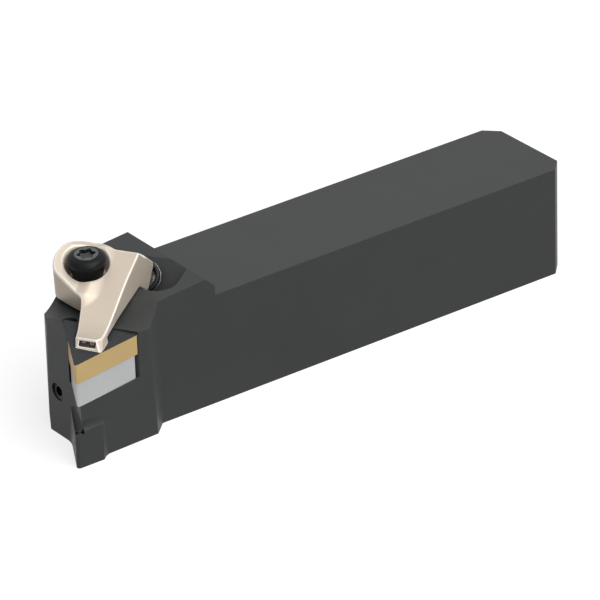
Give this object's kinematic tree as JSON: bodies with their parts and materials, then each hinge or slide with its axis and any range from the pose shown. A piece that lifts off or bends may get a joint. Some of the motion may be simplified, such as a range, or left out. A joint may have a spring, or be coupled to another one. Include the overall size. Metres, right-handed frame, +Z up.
{
  "type": "turning tool holder",
  "caption": "Square-shank right-hand turning tool holder with a clamped triangular insert on a shim and internal coolant channels.",
  "frame": {"origin": "centre of the shank's underside", "axes": "+X along the shank to its rear end, +Z up out of the shank's top, cutting side towards -Y"},
  "size_m": [0.1327, 0.032, 0.0381],
  "materials": {
    "blackened_steel": "satin black oxide",
    "carbide_shim": "ground",
    "coated_carbide": "satin coating",
    "nickel_clamp": "fine blasted nickel",
    "black_screw": "satin black oxide",
    "spring_steel": "drawn",
    "bright_steel": "polished",
    "seal_rubber": "matt"
  },
  "bodies": {
    "holder": {"holder_body": "blackened_steel", "shim": "carbide_shim", "shim_screw": "black_screw", "insert": "coated_carbide", "front_plug": "black_screw", "channel_ball": "bright_steel", "clamp_spring": "spring_steel"},
    "clamp": {"clamp": "nickel_clamp", "seal_ring": "seal_rubber", "seal_washer": "bright_steel"},
    "clamp_screw": {"clamp_screw": "black_screw", "stop_ring": "spring_steel"}
  },
  "joints": [
    {"name": "clamp_lift", "type": "slide", "parent": "holder", "child": "clamp", "axis": [-0.0924, -0.0684, 0.9934], "range_m": [0, 0.004], "deforming": ["clamp_spring"]},
    {"name": "screw_turn", "type": "hinge", "parent": "clamp", "child": "clamp_screw", "pos_m": [-0.06929, -0.00059, 0.02826], "axis": [-0.0924, -0.0684, 0.9934], "range_deg": [0, 1440]}
  ],
  "couplings": [
    {"joint": "screw_turn", "follows": "clamp_lift", "rad_per_m": 6283.2}
  ]
}
